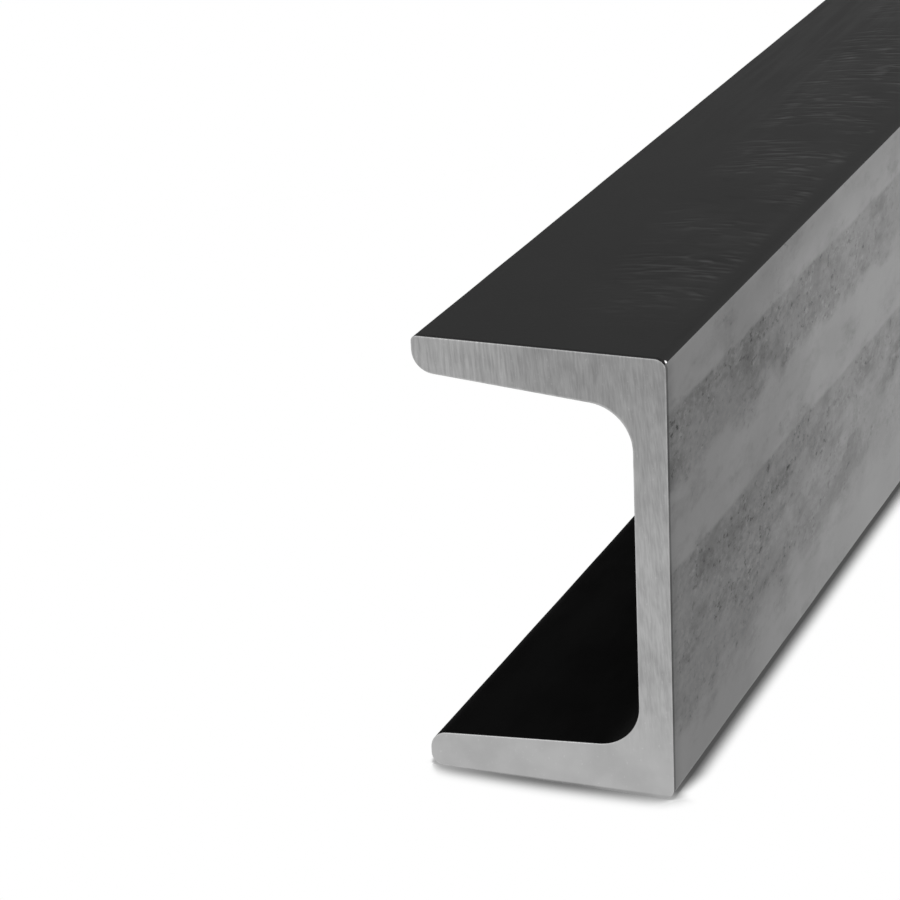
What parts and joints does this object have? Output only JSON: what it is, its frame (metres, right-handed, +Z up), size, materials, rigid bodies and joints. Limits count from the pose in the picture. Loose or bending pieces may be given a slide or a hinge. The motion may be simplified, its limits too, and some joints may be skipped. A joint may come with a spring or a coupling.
{
  "type": "steel u-channel",
  "caption": "Straight hot-rolled steel U-channel with tapered flanges, rounded roots, toes and heels, sawn square at both ends.",
  "frame": {"origin": "centre of the section's width and of the bar's length, on the surface that the lower flange rests on", "axes": "+Y along the bar, +X the way the back of the web faces, with the flange toes towards -X, and +Z up through both flanges"},
  "size_m": [0.045, 1, 0.08],
  "materials": {
    "rolled_steel": "dark mill scale on the rolled faces, bright sawn steel on both ends"
  },
  "bodies": {
    "root": {"channel": "rolled_steel"}
  },
  "joints": []
}
